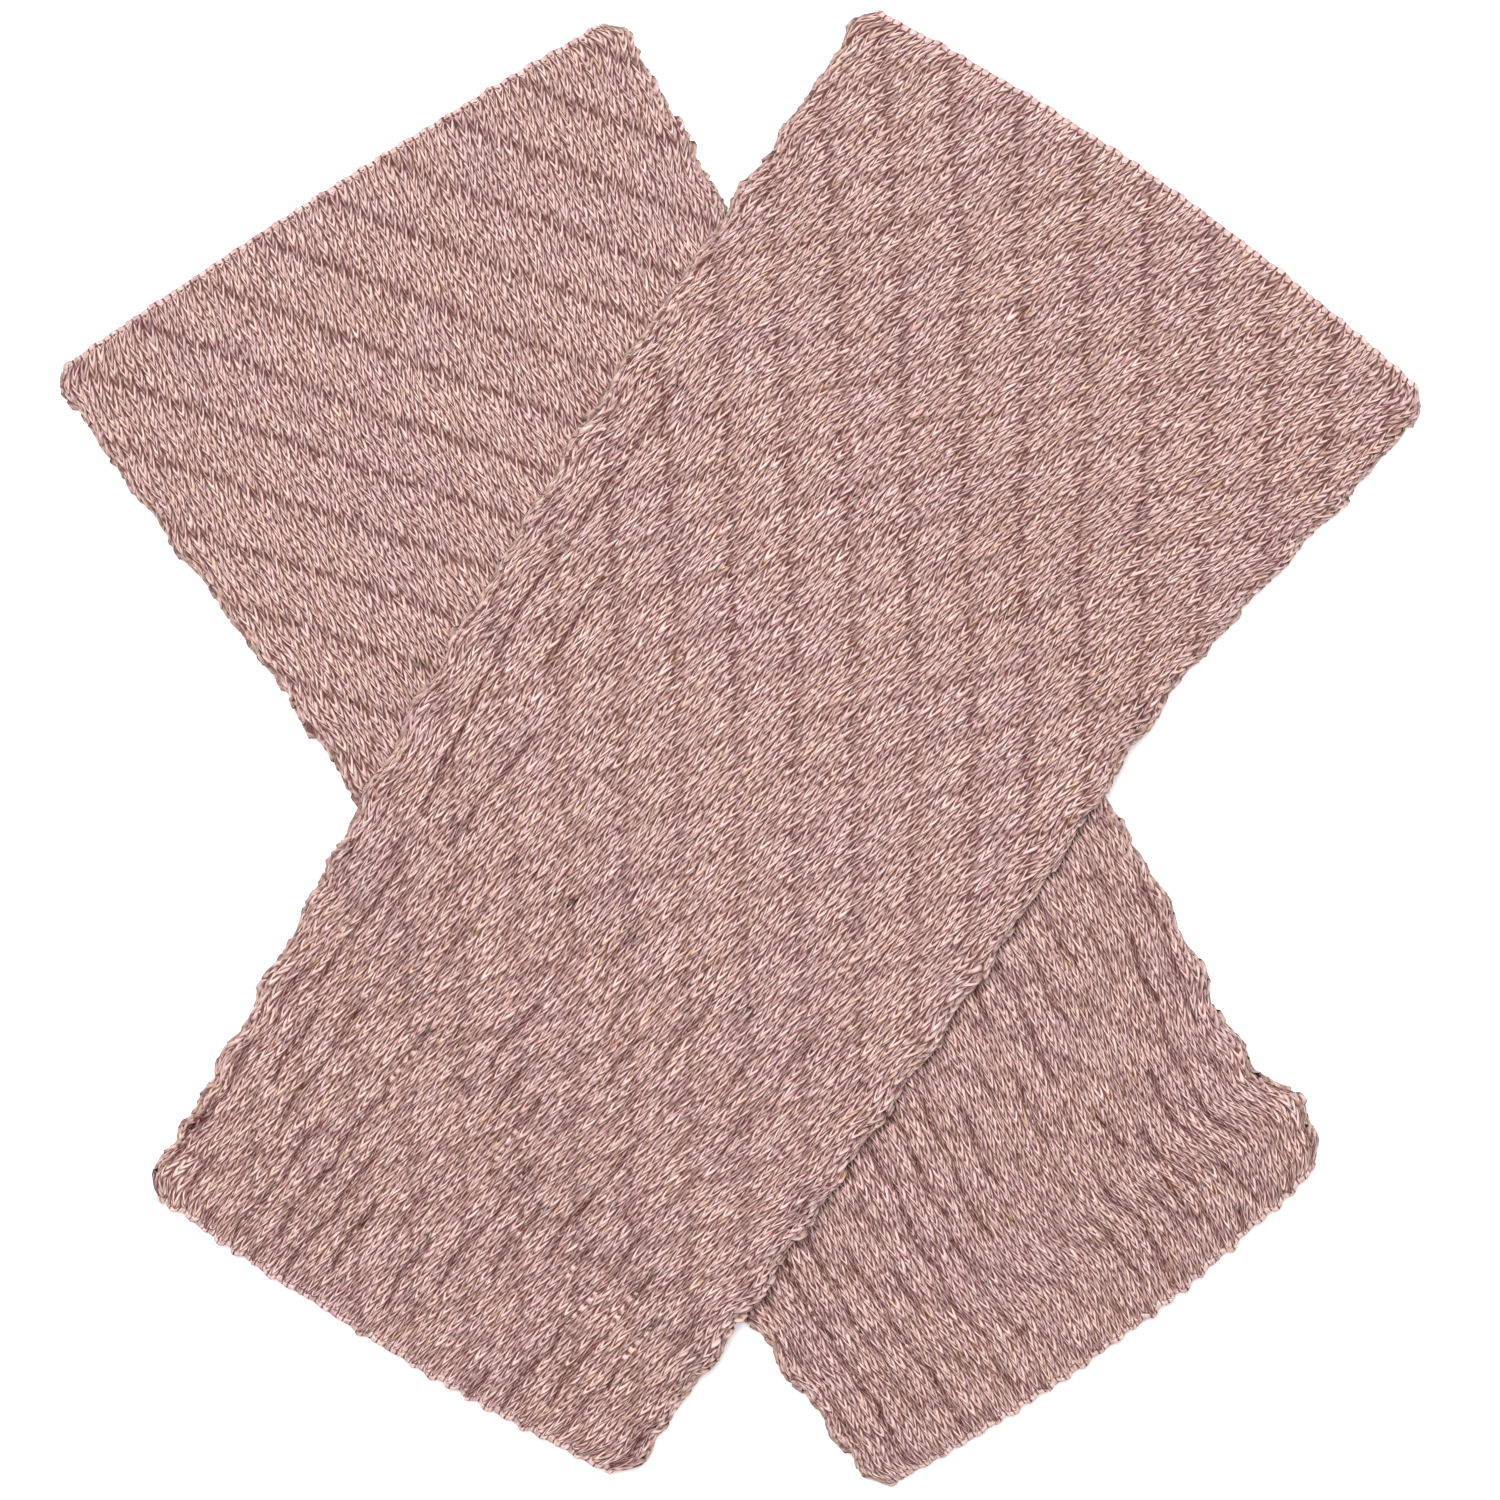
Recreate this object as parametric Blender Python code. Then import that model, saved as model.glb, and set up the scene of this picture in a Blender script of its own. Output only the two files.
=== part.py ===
"""A pair of knitted ankle warmers, laid flat and crossed.

Each warmer is one seamless knitted tube, wider at its calf end than at its ankle end, pressed flat so that
its two layers lie on each other. A knitted lattice of recessed lines divides the cloth into puffed diamonds.
One warmer lies on the surface, and the other lies over it and drapes down to the surface on both sides.

The sizes below are in millimetres and MM turns them into metres. Each warmer has its own flat frame: across
it, along it (its wide end at +) and up. The pair's origin is on the surface, under the middle of the pair.
"""

import bisect
import math
from typing import NamedTuple

import bmesh
import bpy

MM = 0.001

# The cloth
BACK_WALL = 2.0  # the layer underneath
SLIT = 0.5  # between the two layers
FRONT_WALL = 1.9  # the layer on top, at the bottom of its grooves
THICK = BACK_WALL + SLIT + FRONT_WALL
SIDE_WALL = 2.4  # from the end of the slit to the side edge
FOLD = 2.6  # from the side edge to where the layers become flat
FOLD_RADIUS = (FOLD + THICK / 2) / 2  # the mean radius of the round side
LIP = 0.9  # the rounded rim of an open end
CORNER = 4.5  # the radius of the outline's corners

# The knitting
WALES = 144  # columns of stitches round the tube
DIAMOND = 8  # wales and courses (rows of stitches) from one diamond to the next
STEP = DIAMOND / 4  # wales and courses from one modelled point to the next
ROUNDNESS = 2.2  # how full the diamonds are: 1 is a pyramid
SCALLOP = 1.7  # how much more a diamond swells at a side edge than on the flat

# The drape of the warmer on top
CLEARANCE = 0.4  # between the two warmers
OVERHANG = 1.5  # how far past the lower warmer's side the cloth stays up
RUN = 20.0  # how far from there it takes to come down to the surface

# How the solids are divided
FOLD_ANGLES = (50, 10, -35)  # of the points round a side, in degrees above the horizontal
SLIVER = 0.6  # the least distance from a lattice point to the fold, in wales
SAME_PLACE = 1e-6  # the difference under which two positions on neighbouring rings count as equal
GROOVE_SHARE = 0.01  # how much an edge along a groove is preferred to one along a crest


class Row(NamedTuple):
    """What a warmer measures at one level of its length."""

    along: float  # the level
    left: float  # the side edges
    right: float
    drift: float  # how far the leaning wales have moved to the right
    course: float  # the height of a course
    puff: float  # how far the diamonds rise


class Edge(NamedTuple):
    """The level of an open end at its left corner, in the middle and at its right corner."""

    left: float
    middle: float
    right: float


class Crease(NamedTuple):
    """A soft trough in the top layer, or a ridge where the depth is negative."""

    from_across: float
    from_along: float
    to_across: float
    to_along: float
    depth: float
    width: float


class Warmer(NamedTuple):
    name: str
    centre: tuple  # the place of its own frame in the pair
    turn: float  # degrees, anticlockwise
    phase: float  # the course of a crossing of the lattice on the middle wale
    rows: tuple
    narrow: Edge
    wide: Edge
    creases: tuple
    back_columns: int
    slit_columns: int
    slit_rows: int  # the slit has a ring at every so many rings of the outside


LOWER = Warmer(
    name="lower_warmer",
    centre=(-4.15, -3.70),
    turn=33.4,
    phase=-1.5,
    rows=(
        Row(along=-120, left=-44.8, right=50.3, drift=-2.7, course=1.75, puff=1.00),
        Row(along=-107, left=-45.5, right=51.6, drift=-1.8, course=1.77, puff=1.00),
        Row(along=-98, left=-46.0, right=48.4, drift=-1.3, course=1.78, puff=1.00),
        Row(along=-86, left=-46.7, right=49.0, drift=-0.6, course=1.80, puff=0.95),
        Row(along=-64, left=-48.3, right=51.8, drift=2.1, course=1.83, puff=0.85),
        Row(along=-42, left=-49.4, right=52.8, drift=3.2, course=1.86, puff=0.75),
        Row(along=34, left=-53.8, right=52.8, drift=6.4, course=1.86, puff=0.55),
        Row(along=60, left=-54.5, right=53.0, drift=8.5, course=1.80, puff=0.50),
        Row(along=79, left=-55.7, right=53.8, drift=10.8, course=1.74, puff=0.45),
        Row(along=99, left=-57.0, right=55.6, drift=14.9, course=1.70, puff=0.40),
        Row(along=120, left=-57.5, right=56.7, drift=19.4, course=1.68, puff=0.35),
    ),
    narrow=Edge(left=-119.0, middle=-119.9, right=-113.6),
    wide=Edge(left=119.6, middle=120.1, right=117.8),
    creases=(
        Crease(35.1, -104.0, 37.2, -113.0, depth=0.8, width=1.8),
        Crease(25.7, -100.0, 26.4, -110.0, depth=0.7, width=1.8),
        Crease(21.1, -84.0, 23.0, -93.0, depth=0.6, width=1.8),
        Crease(15.1, -62.0, 16.3, -55.0, depth=0.5, width=1.8),
        Crease(38.5, -103.0, 49.0, -108.5, depth=-0.7, width=3.2),
    ),
    back_columns=3,
    slit_columns=3,
    slit_rows=4,
)

UPPER = Warmer(
    name="upper_warmer",
    centre=(3.82, -1.95),
    turn=-33.4,
    phase=-1.0,
    rows=(
        Row(along=-120, left=-47.5, right=48.2, drift=-15.0, course=1.75, puff=0.90),
        Row(along=-100, left=-48.4, right=48.8, drift=-13.2, course=1.81, puff=0.90),
        Row(along=-77, left=-49.7, right=49.4, drift=-11.2, course=1.87, puff=0.85),
        Row(along=-55, left=-51.9, right=50.0, drift=-8.2, course=1.91, puff=0.80),
        Row(along=-10, left=-55.0, right=51.2, drift=-4.8, course=1.95, puff=0.65),
        Row(along=34, left=-56.8, right=51.4, drift=0.5, course=1.90, puff=0.55),
        Row(along=56, left=-56.9, right=52.5, drift=2.4, course=1.81, puff=0.50),
        Row(along=79, left=-56.4, right=55.7, drift=5.6, course=1.765, puff=0.45),
        Row(along=101, left=-56.1, right=59.3, drift=8.8, course=1.76, puff=0.40),
        Row(along=120, left=-56.4, right=61.2, drift=13.0, course=1.76, puff=0.35),
    ),
    narrow=Edge(left=-119.9, middle=-120.2, right=-116.4),
    wide=Edge(left=118.2, middle=120.7, right=115.0),
    creases=(
        Crease(-47.8, 46.0, -48.7, 0.0, depth=0.6, width=2.2),
        Crease(-48.7, 0.0, -44.2, -38.0, depth=0.6, width=2.2),
        Crease(-41.4, -48.0, -42.3, -74.0, depth=0.8, width=2.2),
        Crease(-39.8, 11.0, -39.8, -8.0, depth=0.6, width=2.0),
        Crease(-35.4, -18.0, -36.3, -42.0, depth=0.6, width=2.0),
    ),
    back_columns=8,
    slit_columns=7,
    slit_rows=2,
)


def row_at(warmer, along):
    """The warmer's measures at any level, on smooth curves through its rows."""
    rows = warmer.rows
    along = min(max(along, rows[0].along), rows[-1].along)
    i = min(max(bisect.bisect_right([r.along for r in rows], along) - 1, 0), len(rows) - 2)
    low, high = rows[i], rows[i + 1]
    before, after = rows[max(i - 1, 0)], rows[min(i + 2, len(rows) - 1)]
    span = high.along - low.along
    t = (along - low.along) / span
    values = []
    for a, b, c, d in zip(before, low, high, after):
        slope_low = (c - a) / (high.along - before.along) * span
        slope_high = (d - b) / (after.along - low.along) * span
        values.append(
            (2 * t**3 - 3 * t**2 + 1) * b
            + (t**3 - 2 * t**2 + t) * slope_low
            + (3 * t**2 - 2 * t**3) * c
            + (t**3 - t**2) * slope_high
        )
    return Row(*values)


def levels_of_courses(warmer):
    """The level of each course from the narrow end's rim to the wide end's rim."""
    level, end = warmer.rows[0].along + LIP, warmer.rows[-1].along - LIP
    levels = [level]
    while level < end:
        half_way = level + row_at(warmer, level).course / 2
        level += row_at(warmer, half_way).course
        levels.append(level)
    return levels


def rings_of(warmer):
    """(course, level) of each ring of points, on the lattice's crossings, centres and half-ways."""
    levels = levels_of_courses(warmer)
    end = warmer.rows[-1].along - LIP
    last = len(levels) - 1 - (levels[-1] - end) / (levels[-1] - levels[-2])
    courses = [0.0]
    course = warmer.phase % STEP
    while course < last - STEP / 3:
        if course > STEP / 3:
            courses.append(course)
        course += STEP
    courses.append(last)
    rings = []
    for course in courses:
        i = min(int(course), len(levels) - 2)
        rings.append((course, levels[i] + (levels[i + 1] - levels[i]) * (course - i)))
    return rings


def relief(warmer, wale, course):
    """From 0 on the lattice's lines to 1 in the middle of a diamond."""
    height = 1.0
    for line in (wale + course - warmer.phase, wale - course + warmer.phase):
        to_line = abs((line / DIAMOND % 1.0) * 2 - 1)
        height *= 1 - to_line**ROUNDNESS
    return height


def crease_depth(warmer, across, along):
    """How deep the creases are at a place on the top layer."""
    depth = 0.0
    for c in warmer.creases:
        dx, dy = c.to_across - c.from_across, c.to_along - c.from_along
        t = ((across - c.from_across) * dx + (along - c.from_along) * dy) / (dx * dx + dy * dy)
        t = min(max(t, 0.0), 1.0)
        away = math.hypot(across - c.from_across - t * dx, along - c.from_along - t * dy)
        depth += c.depth * math.exp(-((away / c.width) ** 2))
    return depth


class Section(NamedTuple):
    """The flattened tube at one level."""

    level: float
    middle: float
    half: float  # half its width
    pitch: float  # the width of a wale
    drift: float
    puff: float


def section_at(warmer, level):
    """The section there, drawn in near an open end by the outline's round corner."""
    row = row_at(warmer, level)
    to_end = min(level - warmer.rows[0].along, warmer.rows[-1].along - level)
    inset = 0.0
    if to_end < CORNER:
        inset = CORNER - math.sqrt(CORNER**2 - (CORNER - to_end) ** 2)
    half = (row.right - row.left) / 2
    half_girth = 2 * (half - FOLD) + math.pi * FOLD_RADIUS
    return Section(
        level=level,
        middle=(row.left + row.right) / 2,
        half=half - inset,
        pitch=half_girth / (WALES / 2),
        drift=row.drift,
        puff=row.puff,
    )


def bent(warmer, section, across):
    """The level of a course at a place across it, as the two open ends curve."""
    t = (across - section.middle) / section.half
    share = (section.level - warmer.rows[0].along) / (warmer.rows[-1].along - warmer.rows[0].along)
    level = 0.0
    for edge, weight in ((warmer.narrow, 1 - share), (warmer.wide, share)):
        tilt = (edge.right - edge.left) / 2
        bow = (edge.left + edge.right) / 2 - edge.middle
        level += weight * (edge.middle + tilt * t + bow * t * t)
    return level


def to_pair(warmer, across, along):
    """A place in a warmer's frame, in the pair's frame."""
    a = math.radians(warmer.turn)
    return (
        warmer.centre[0] + across * math.cos(a) - along * math.sin(a),
        warmer.centre[1] + across * math.sin(a) + along * math.cos(a),
    )


def from_pair(warmer, x, y):
    a = math.radians(warmer.turn)
    dx, dy = x - warmer.centre[0], y - warmer.centre[1]
    return dx * math.cos(a) + dy * math.sin(a), dy * math.cos(a) - dx * math.sin(a)


def lift(warmer, across, along):
    """How far the warmer on top is raised by the one it lies on."""
    if warmer is LOWER:
        return 0.0
    under_across, under_along = from_pair(LOWER, *to_pair(warmer, across, along))
    under = row_at(LOWER, under_along)
    outside = max(under.left - under_across, under_across - under.right)
    t = min(max((outside - OVERHANG) / RUN, 0.0), 1.0)
    top = THICK + under.puff + CLEARANCE
    return top * (1 - t * t * (3 - 2 * t))


class Point(NamedTuple):
    """A point of a ring: where it is round the tube, its place and its share of the puff."""

    round_it: float
    place: tuple
    puffed: float


def placed(warmer, section, across, up, round_it, puffed=0.0):
    along = bent(warmer, section, across)
    return Point(round_it, (across, along, up + lift(warmer, across, along)), puffed)


def side_point(warmer, section, course, side, angle):
    """A point on a round side: side is -1 for the left and 1 for the right."""
    turn = math.radians(angle)
    flat_edge = side * (section.half - FOLD)
    round_it = (flat_edge - section.drift) / section.pitch
    round_it += side * FOLD_RADIUS * (math.pi / 2 - turn) / section.pitch
    puffed = relief(warmer, round_it, course)
    swell = section.puff * puffed
    across = section.middle + flat_edge + side * math.cos(turn) * (FOLD + SCALLOP * swell)
    up = THICK / 2 * (1 + math.sin(turn)) + swell * (1 + math.sin(turn)) / 2
    return placed(warmer, section, across, up, round_it, puffed)


def front_points(warmer, section, course):
    """The top layer from its left fold to its right one, with a point on each lattice column."""
    left = side_point(warmer, section, course, -1, 90)
    right = side_point(warmer, section, course, 1, 90)
    points = [left]
    wale = STEP * math.ceil((left.round_it + SLIVER) / STEP)
    while wale < right.round_it - SLIVER:
        across = section.middle + section.drift + wale * section.pitch
        puffed = relief(warmer, wale, course)
        up = THICK + section.puff * puffed
        up -= crease_depth(warmer, across, bent(warmer, section, across))
        points.append(placed(warmer, section, across, up, wale, puffed))
        wale += STEP
    return points + [right]


def under_points(warmer, section, course):
    """The right side, the flat underside and the left side, between the ends of the top layer."""
    points = [side_point(warmer, section, course, 1, angle) for angle in FOLD_ANGLES]
    steps = warmer.back_columns + 1
    for i in range(steps + 1):
        share = 1 - 2 * i / steps
        across = section.middle + share * (section.half - FOLD)
        points.append(placed(warmer, section, across, 0.0, 0.0))
    points += [side_point(warmer, section, course, -1, angle) for angle in reversed(FOLD_ANGLES)]
    return points


def slit_ring(warmer, section):
    """The slit's two faces, from its left end over the top to its right end and back."""
    half, steps = section.half - SIDE_WALL, warmer.slit_columns + 1
    ring = []
    for i in range(2 * steps):
        share = i / steps if i <= steps else 2 - i / steps
        up = BACK_WALL + SLIT if 0 < i < steps else BACK_WALL
        if i in (0, steps):
            up = BACK_WALL + SLIT / 2
        ring.append(placed(warmer, section, section.middle + half * (2 * share - 1), up, 0.0))
    return ring


def around(ring):
    """(how far round, index) of each point from the leftmost: 0 to 1 over the top, then 1 to 2."""
    across = [p.place[0] for p in ring]
    low, high = min(across), max(across)
    start = across.index(low)
    stations, underneath = [], False
    for i in range(start, start + len(ring)):
        share = (across[i % len(ring)] - low) / (high - low)
        stations.append((2 - share if underneath else share, i % len(ring)))
        underneath = underneath or share == 1.0
    return stations + [(2.0, start)]


def zip_chains(bm, lower, upper):
    """Triangles between two rows of (position, puffed, vertex), matched by position."""
    i = j = 0
    while i < len(lower) - 1 or j < len(upper) - 1:
        next_lower = lower[i + 1][0] if i < len(lower) - 1 else math.inf
        next_upper = upper[j + 1][0] if j < len(upper) - 1 else math.inf
        a, b = lower[i], upper[j]
        if abs(next_lower - next_upper) < SAME_PLACE or (i == len(lower) - 2 and j == len(upper) - 2):
            c, d = lower[i + 1], upper[j + 1]
            # the edge inside the square follows the slopes of the diamonds
            if slope(a, d) <= slope(c, b):
                faces = ((a, c, d), (a, d, b))
            else:
                faces = ((a, c, b), (c, d, b))
            i, j = i + 1, j + 1
        elif next_lower < next_upper:
            faces = ((a, lower[i + 1], b),)
            i += 1
        else:
            faces = ((a, upper[j + 1], b),)
            j += 1
        for face in faces:
            bm.faces.new([corner[2] for corner in face])


def slope(a, b):
    """Least for an edge that stays level along a groove."""
    return abs(a[1] - b[1]) + GROOVE_SHARE * (a[1] + b[1])


def chain(points, vertices):
    return [(p.round_it, p.puffed, v) for p, v in zip(points, vertices)]


def add_vertices(bm, points):
    return [bm.verts.new([value * MM for value in p.place]) for p in points]


def join_round(bm, ring_a, verts_a, ring_b, verts_b):
    """Joins two closed rings whose points don't match."""
    chains = []
    for ring, verts in ((ring_a, verts_a), (ring_b, verts_b)):
        chains.append([(at, 0.0, verts[i]) for at, i in around(ring)])
    zip_chains(bm, *chains)


def lip_ring(warmer, end, section, front, under):
    """The rounded rim of an open end: halfway through the wall, LIP further out."""
    slit_half = section.half - SIDE_WALL
    ring = []
    for p, face in [(p, BACK_WALL + SLIT) for p in front] + [(p, BACK_WALL) for p in under]:
        across, along, up = p.place
        offset = across - section.middle
        inner = min(max(offset, -slit_half), slit_half)
        if inner != offset:
            face = BACK_WALL + SLIT / 2
        ground = lift(warmer, across, along)
        middle = (section.middle + (offset + inner) / 2, along + end * LIP, (up + ground + face) / 2)
        ring.append(Point(p.round_it, middle, 0.0))
    return ring


def build(warmer):
    """One closed solid: the outside, the slit's faces and the rims of the two open ends."""
    bm = bmesh.new()
    rings = rings_of(warmer)
    outside, slit = [], []
    for number, (course, level) in enumerate(rings):
        section = section_at(warmer, level)
        front = front_points(warmer, section, course)
        under = under_points(warmer, section, course)
        outside.append((front, under, add_vertices(bm, front), add_vertices(bm, under), section))
        if number % warmer.slit_rows == 0 or number == len(rings) - 1:
            ring = slit_ring(warmer, section)
            slit.append((ring, add_vertices(bm, ring)))

    for low, high in zip(outside, outside[1:]):
        zip_chains(bm, chain(low[0], low[2]), chain(high[0], high[2]))
        lower = [low[2][-1], *low[3], low[2][0]]
        upper = [high[2][-1], *high[3], high[2][0]]
        for i in range(len(lower) - 1):
            bm.faces.new((lower[i], lower[i + 1], upper[i + 1], upper[i]))
    for (_, low), (_, high) in zip(slit, slit[1:]):
        for i in range(len(low)):
            j = (i + 1) % len(low)
            bm.faces.new((low[j], low[i], high[i], high[j]))

    for end, (front, under, front_verts, under_verts, section), (ring, ring_verts) in (
        (-1, outside[0], slit[0]),
        (1, outside[-1], slit[-1]),
    ):
        lip = lip_ring(warmer, end, section, front, under)
        lip_verts = add_vertices(bm, lip)
        outer_verts = front_verts + under_verts
        for i in range(len(lip_verts)):
            j = (i + 1) % len(lip_verts)
            bm.faces.new((outer_verts[i], outer_verts[j], lip_verts[j], lip_verts[i]))
        join_round(bm, lip, lip_verts, ring, ring_verts)

    bmesh.ops.triangulate(bm, faces=[f for f in bm.faces if len(f.verts) > 3])
    bmesh.ops.recalc_face_normals(bm, faces=bm.faces)
    mesh = bpy.data.meshes.new(warmer.name)
    bm.to_mesh(mesh)
    bm.free()
    mesh.shade_smooth()
    mesh.materials.append(rose_knit())
    piece = bpy.data.objects.new(warmer.name, mesh)
    piece.location = (warmer.centre[0] * MM, warmer.centre[1] * MM, 0.0)
    piece.rotation_euler = (0.0, 0.0, math.radians(warmer.turn))
    bpy.context.scene.collection.objects.link(piece)
    return piece


def rose_knit():
    """Dusty rose cotton knit: matt, with no metal in it."""
    name = "rose_knit"
    if name in bpy.data.materials:
        return bpy.data.materials[name]
    material = bpy.data.materials.new(name)
    material.use_nodes = True
    shader = material.node_tree.nodes["Principled BSDF"]
    shader.inputs["Base Color"].default_value = (0.52, 0.32, 0.29, 1.0)
    shader.inputs["Roughness"].default_value = 0.9
    shader.inputs["Metallic"].default_value = 0.0
    return material


def main():
    for old in list(bpy.data.objects):
        bpy.data.objects.remove(old, do_unlink=True)
    build(LOWER)
    build(UPPER)


main()
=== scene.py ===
"""The looks of a pair of knitted ankle warmers: every stitch of the knit, its yarn, the light and the camera.

Each warmer is a seamless tube, pressed flat. The CAD model has its form and its puffed diamonds. Here the same
form is knitted: each stitch is a V of two slanting legs of yarn, 144 of them round the tube and about 130 along
it. A tube is made of three bands, one above another, which meet in a groove between two courses of stitches.

The shape is worked out in millimetres in each warmer's own flat frame: across it, along it (its wide end at +)
and up. A place on the tube is given by its wale (column of stitches) and its course (row of stitches).
"""

import math
from typing import NamedTuple

import bpy
import numpy as np
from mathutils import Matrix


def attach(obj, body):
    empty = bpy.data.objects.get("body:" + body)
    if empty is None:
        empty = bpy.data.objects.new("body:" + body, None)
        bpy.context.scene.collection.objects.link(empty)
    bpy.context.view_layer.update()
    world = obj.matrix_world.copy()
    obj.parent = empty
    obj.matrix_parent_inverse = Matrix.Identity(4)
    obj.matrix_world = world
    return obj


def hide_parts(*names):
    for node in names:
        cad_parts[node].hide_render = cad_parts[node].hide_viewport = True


MM = 0.001

# The cloth, as in the CAD model
BACK_WALL = 2.0  # the layer underneath
SLIT = 0.5  # between the two layers
FRONT_WALL = 1.9  # the layer on top, at the bottom of its grooves
THICK = BACK_WALL + SLIT + FRONT_WALL
SIDE_WALL = 2.4  # from the end of the slit to the side edge
FOLD = 2.6  # from the side edge to where the layers become flat
FOLD_RADIUS = (FOLD + THICK / 2) / 2  # the mean radius of the round side
LIP = 0.9  # the rounded rim of an open end
CORNER = 4.5  # the radius of the outline's corners
WALES = 144  # columns of stitches round the tube
DIAMOND = 8  # wales and courses from one diamond to the next
SCALLOP = 1.7  # how much more a diamond swells at a side edge than on the flat
CLEARANCE = 0.4  # between the two warmers
OVERHANG = 1.5  # how far past the lower warmer's side the upper one stays up
RUN = 20.0  # how far from there it takes to come down to the surface

# The diamonds
ROUNDNESS = 1.3  # how soft the valleys between them are: 1 is an even wave
SAG = 0.8  # how far a diamond's highest place has slid towards its lower tip: 1 is not at all
LINE_WIDTH = 0.62  # of the recessed lines between them, in stitches
LINE_DEPTH = 0.3
LINE_LOST = 0.7  # how much of them is lost where the cloth is gathered
GATHERED = 0.65  # how much of the diamonds' own form is lost there
GATHER_FROM, GATHER_TO = 30.0, -90.0  # the levels between which the cloth gathers towards the narrow end
GATHER_DEPTH = 0.9  # of the folds along the wales through the lines' crossings, at the narrow end
GATHER_WIDTH, GATHER_LENGTH = 1.0, 4.1  # of those folds, in stitches
GATHER_HOOK = 0.5  # how far their lower ends turn to the right, in wales
GATHER_BEND = 0.16  # how far they wind to both sides
GATHER_PULL, PULL_WIDTH = 0.3, 1.1  # how far a fold draws the wales together, and how far off, in wales
SPLIT_DEPTH, SPLIT_WIDTH = 0.6, 0.44  # of the narrow gap at the bottom of a fold, which is darkened with painted shade, in mm and wales
CREASE_SPLIT = 0.45  # how wide the same gap is in one of the listed creases, in mm
HOOK_FROM = 0.2  # how far below a fold's middle it starts to turn, as a share of its length
HOOK_LUCK = (0.5, 1.0)  # the least that chance makes of a fold's turn, and how much more it can add
LENGTH_LUCK = (0.8, 0.5)  # the same of its length
STRENGTH_LUCK = (0.5, 0.7)  # and of its depth
EDGE_REACH = 8  # how fast a scallop dies out from the side inwards: the power of its curve
CORNER_REACH = 4  # the same of the outline's round corners

# The stitches
SLANT = 1.3  # how many courses a leg rises from the foot of its stitch to the side of its wale
FOOT = -0.08  # where the foot is, across the wale: left of the middle, so that the right legs are longer
RIM_SQUEEZE = 2.0  # how fast the courses shrink over an open end's rim, where the feet of the legs fold away
FRONT_SHARES = (-0.5, -0.4, -0.18, FOOT, 0.04, 0.36)  # where a wale of the top layer has points, across it
BACK_SHARES = (-0.5, FOOT)  # the same on the underside
SIDE_SHARE = 0.6  # how far round a side the top layer's points reach
ROW_SHARES = (0.0, 0.3, 0.7)  # where a course has points: in the groove and on both shoulders of the leg
LEG_HEIGHT = 0.62  # from the groove beside a leg to its back
UP_LEG = (0.0, 0.22, 0.76, 1.0)  # places from the foot of a leg to its end
ACROSS_LEG = (0.0, 0.3, 0.7, 1.0)  # places from the groove below a leg to the one above
LEG_FORM = (  # how full a leg is: a line for each place across it, from its foot to its end
    (0.10, 0.30, 0.55, -0.10),
    (0.75, 1.0, 0.95, 0.0),
    (0.45, 0.85, 0.90, 0.0),
    (0.10, 0.30, 0.55, -0.10),
)
LEG_SINK = 0.44  # how far the grooves between legs lie under the CAD model's surface
LEAN = 0.22  # how much fuller the legs that lean to the right are than the others
UNEVEN = 0.32  # how much the legs' heights differ by chance
ROUGH = 0.05  # how far a point of the outside is raised or sunk by chance
SWAY = 0.10  # how far a point is moved to the side by chance
STAGGER = 0.32  # how far the stitches of a wale are from being level with those beside them, in courses
STAGGER_COURSES = 5  # from one such shift of a wale to the next
SHIFT = 0.15  # how far the grooves between legs are from their even places, in courses
ALTERNATE = 0.14  # how much fuller every other stitch is than its neighbours
WEAVE = 0.24  # how far the wales are drawn in towards the middle of a diamond, in wales
WANDER = 0.45  # how far the wales and courses wander from their even places
WANDER_STITCHES = 9  # from one bend of a wandering wale to the next
PIT_DEPTH = 0.45  # of the hole at the foot of a stitch
PIT_UP = (1.0, 0.75, 0.0)  # how much of the hole there is at the first three places of UP_LEG
PIT_ACROSS = (0.5, 0.2, 1.0, 0.5)  # and at those of ACROSS_LEG
PIT_GATHERED = 0.8  # how much deeper the holes are where the cloth is gathered, and how much more painted shade they have
PIT_CHANCE = 0.32  # how many stitches have one, apart from those on the lattice's lines
PIT_MOST, PIT_MOST_ON_LINE = 0.7, 1.2  # the deepest hole, as a share of PIT_DEPTH
ON_LINE_LUCK = (0.8, 1.3)  # the least and most that chance makes of a hole on a line
EXTRA_ROWS = 2  # the courses whose legs start over the narrow end's rim
BACK_SINK = 0.26  # how far the grooves of the underside's stitches are pressed in
BACK_LINE = 0.12  # and the lattice's lines there
BACK_SKIN = 0.02  # and all of it
UNDERNEATH = (1.4, 0.2)  # how fast the stitches turn into those of the underside, and how far up a side
OFF_SIDE = 1.6  # how fast the holes and lines come back from a side edge inwards
SIDE_FADE = 1.3  # how fast the tint of a side edge is lost
RIM_FULLNESS, RIM_REACH = 0.4, 1.2  # how full the legs are at a rim, and the courses to where they are whole
RIM_BUMP = 0.55  # of the wavy narrow end
WIDE_RIM_BUMP = 0.25
RIM_CHAIN = 0.1  # of the chain of stitches along a rim
LIP_ROW = 0.45  # where across a leg the rim takes its colours from
RIM_WAVE = DIAMOND / 3  # wales from one bump to the next
RIM_WAVE_REACH = 3.0  # the courses from a rim that wave with it
RIM_ROUND = 0.2  # how rounded the notches between the bumps are
BUMP_LUCK = (0.4, 1.2)  # the lowest bump, and how much higher chance can make it
BUMP_LEVEL = 0.9  # the height at which a rim is where the CAD model has it
CHAIN_LUCK = 0.3  # the least of the chain's bumps
LIP_ANGLES = (25, 60, 95, 135)  # where a rim has points, from the outside over it to the inner wall
LIP_MARKS = 0.5  # how much of a line or hole goes over to the next ring of a rim

# The parts of a bake map, from bottom to top
OUTSIDE_SHARE = 0.90
INSIDE_START, INSIDE_END = 0.93, 0.98
MAP_MARGIN = 0.012

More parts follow.
